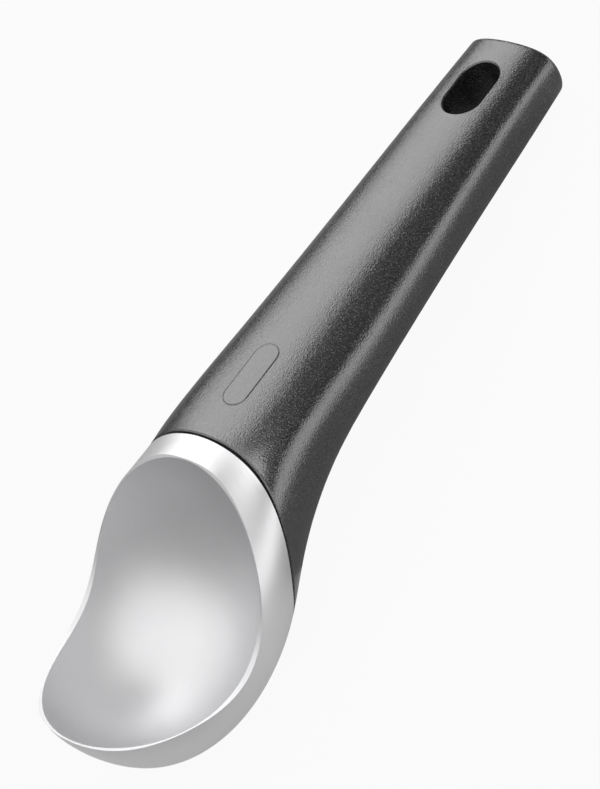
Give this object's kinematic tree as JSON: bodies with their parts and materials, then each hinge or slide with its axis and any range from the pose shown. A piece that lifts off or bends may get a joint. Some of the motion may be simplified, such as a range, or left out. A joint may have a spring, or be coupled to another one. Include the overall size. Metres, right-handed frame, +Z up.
{
  "type": "ice cream scoop",
  "caption": "Rigid one-hand ice cream scoop: an open satin metal bowl with a slanted collar on a tapered oval plastic handle that has a hanging slot at its rear end.",
  "frame": {"origin": "middle of the footprint of the resting scoop, on the surface that it lies on", "axes": "+X along the scoop from the rear end of the handle to the tip of the bowl, +Y across it, +Z up out of the open bowl"},
  "size_m": [0.1912, 0.0526, 0.0409],
  "materials": {
    "head_aluminium": "satin",
    "seal_elastomer": "matte",
    "handle_plastic": "fine grained",
    "carrier_plastic": "plain",
    "pin_steel": "plain"
  },
  "bodies": {
    "root": {"scoop_head": "head_aluminium", "joint_seal": "seal_elastomer", "handle_shell": "handle_plastic", "tang_carrier": "carrier_plastic", "tang_pins": "pin_steel"}
  },
  "joints": []
}
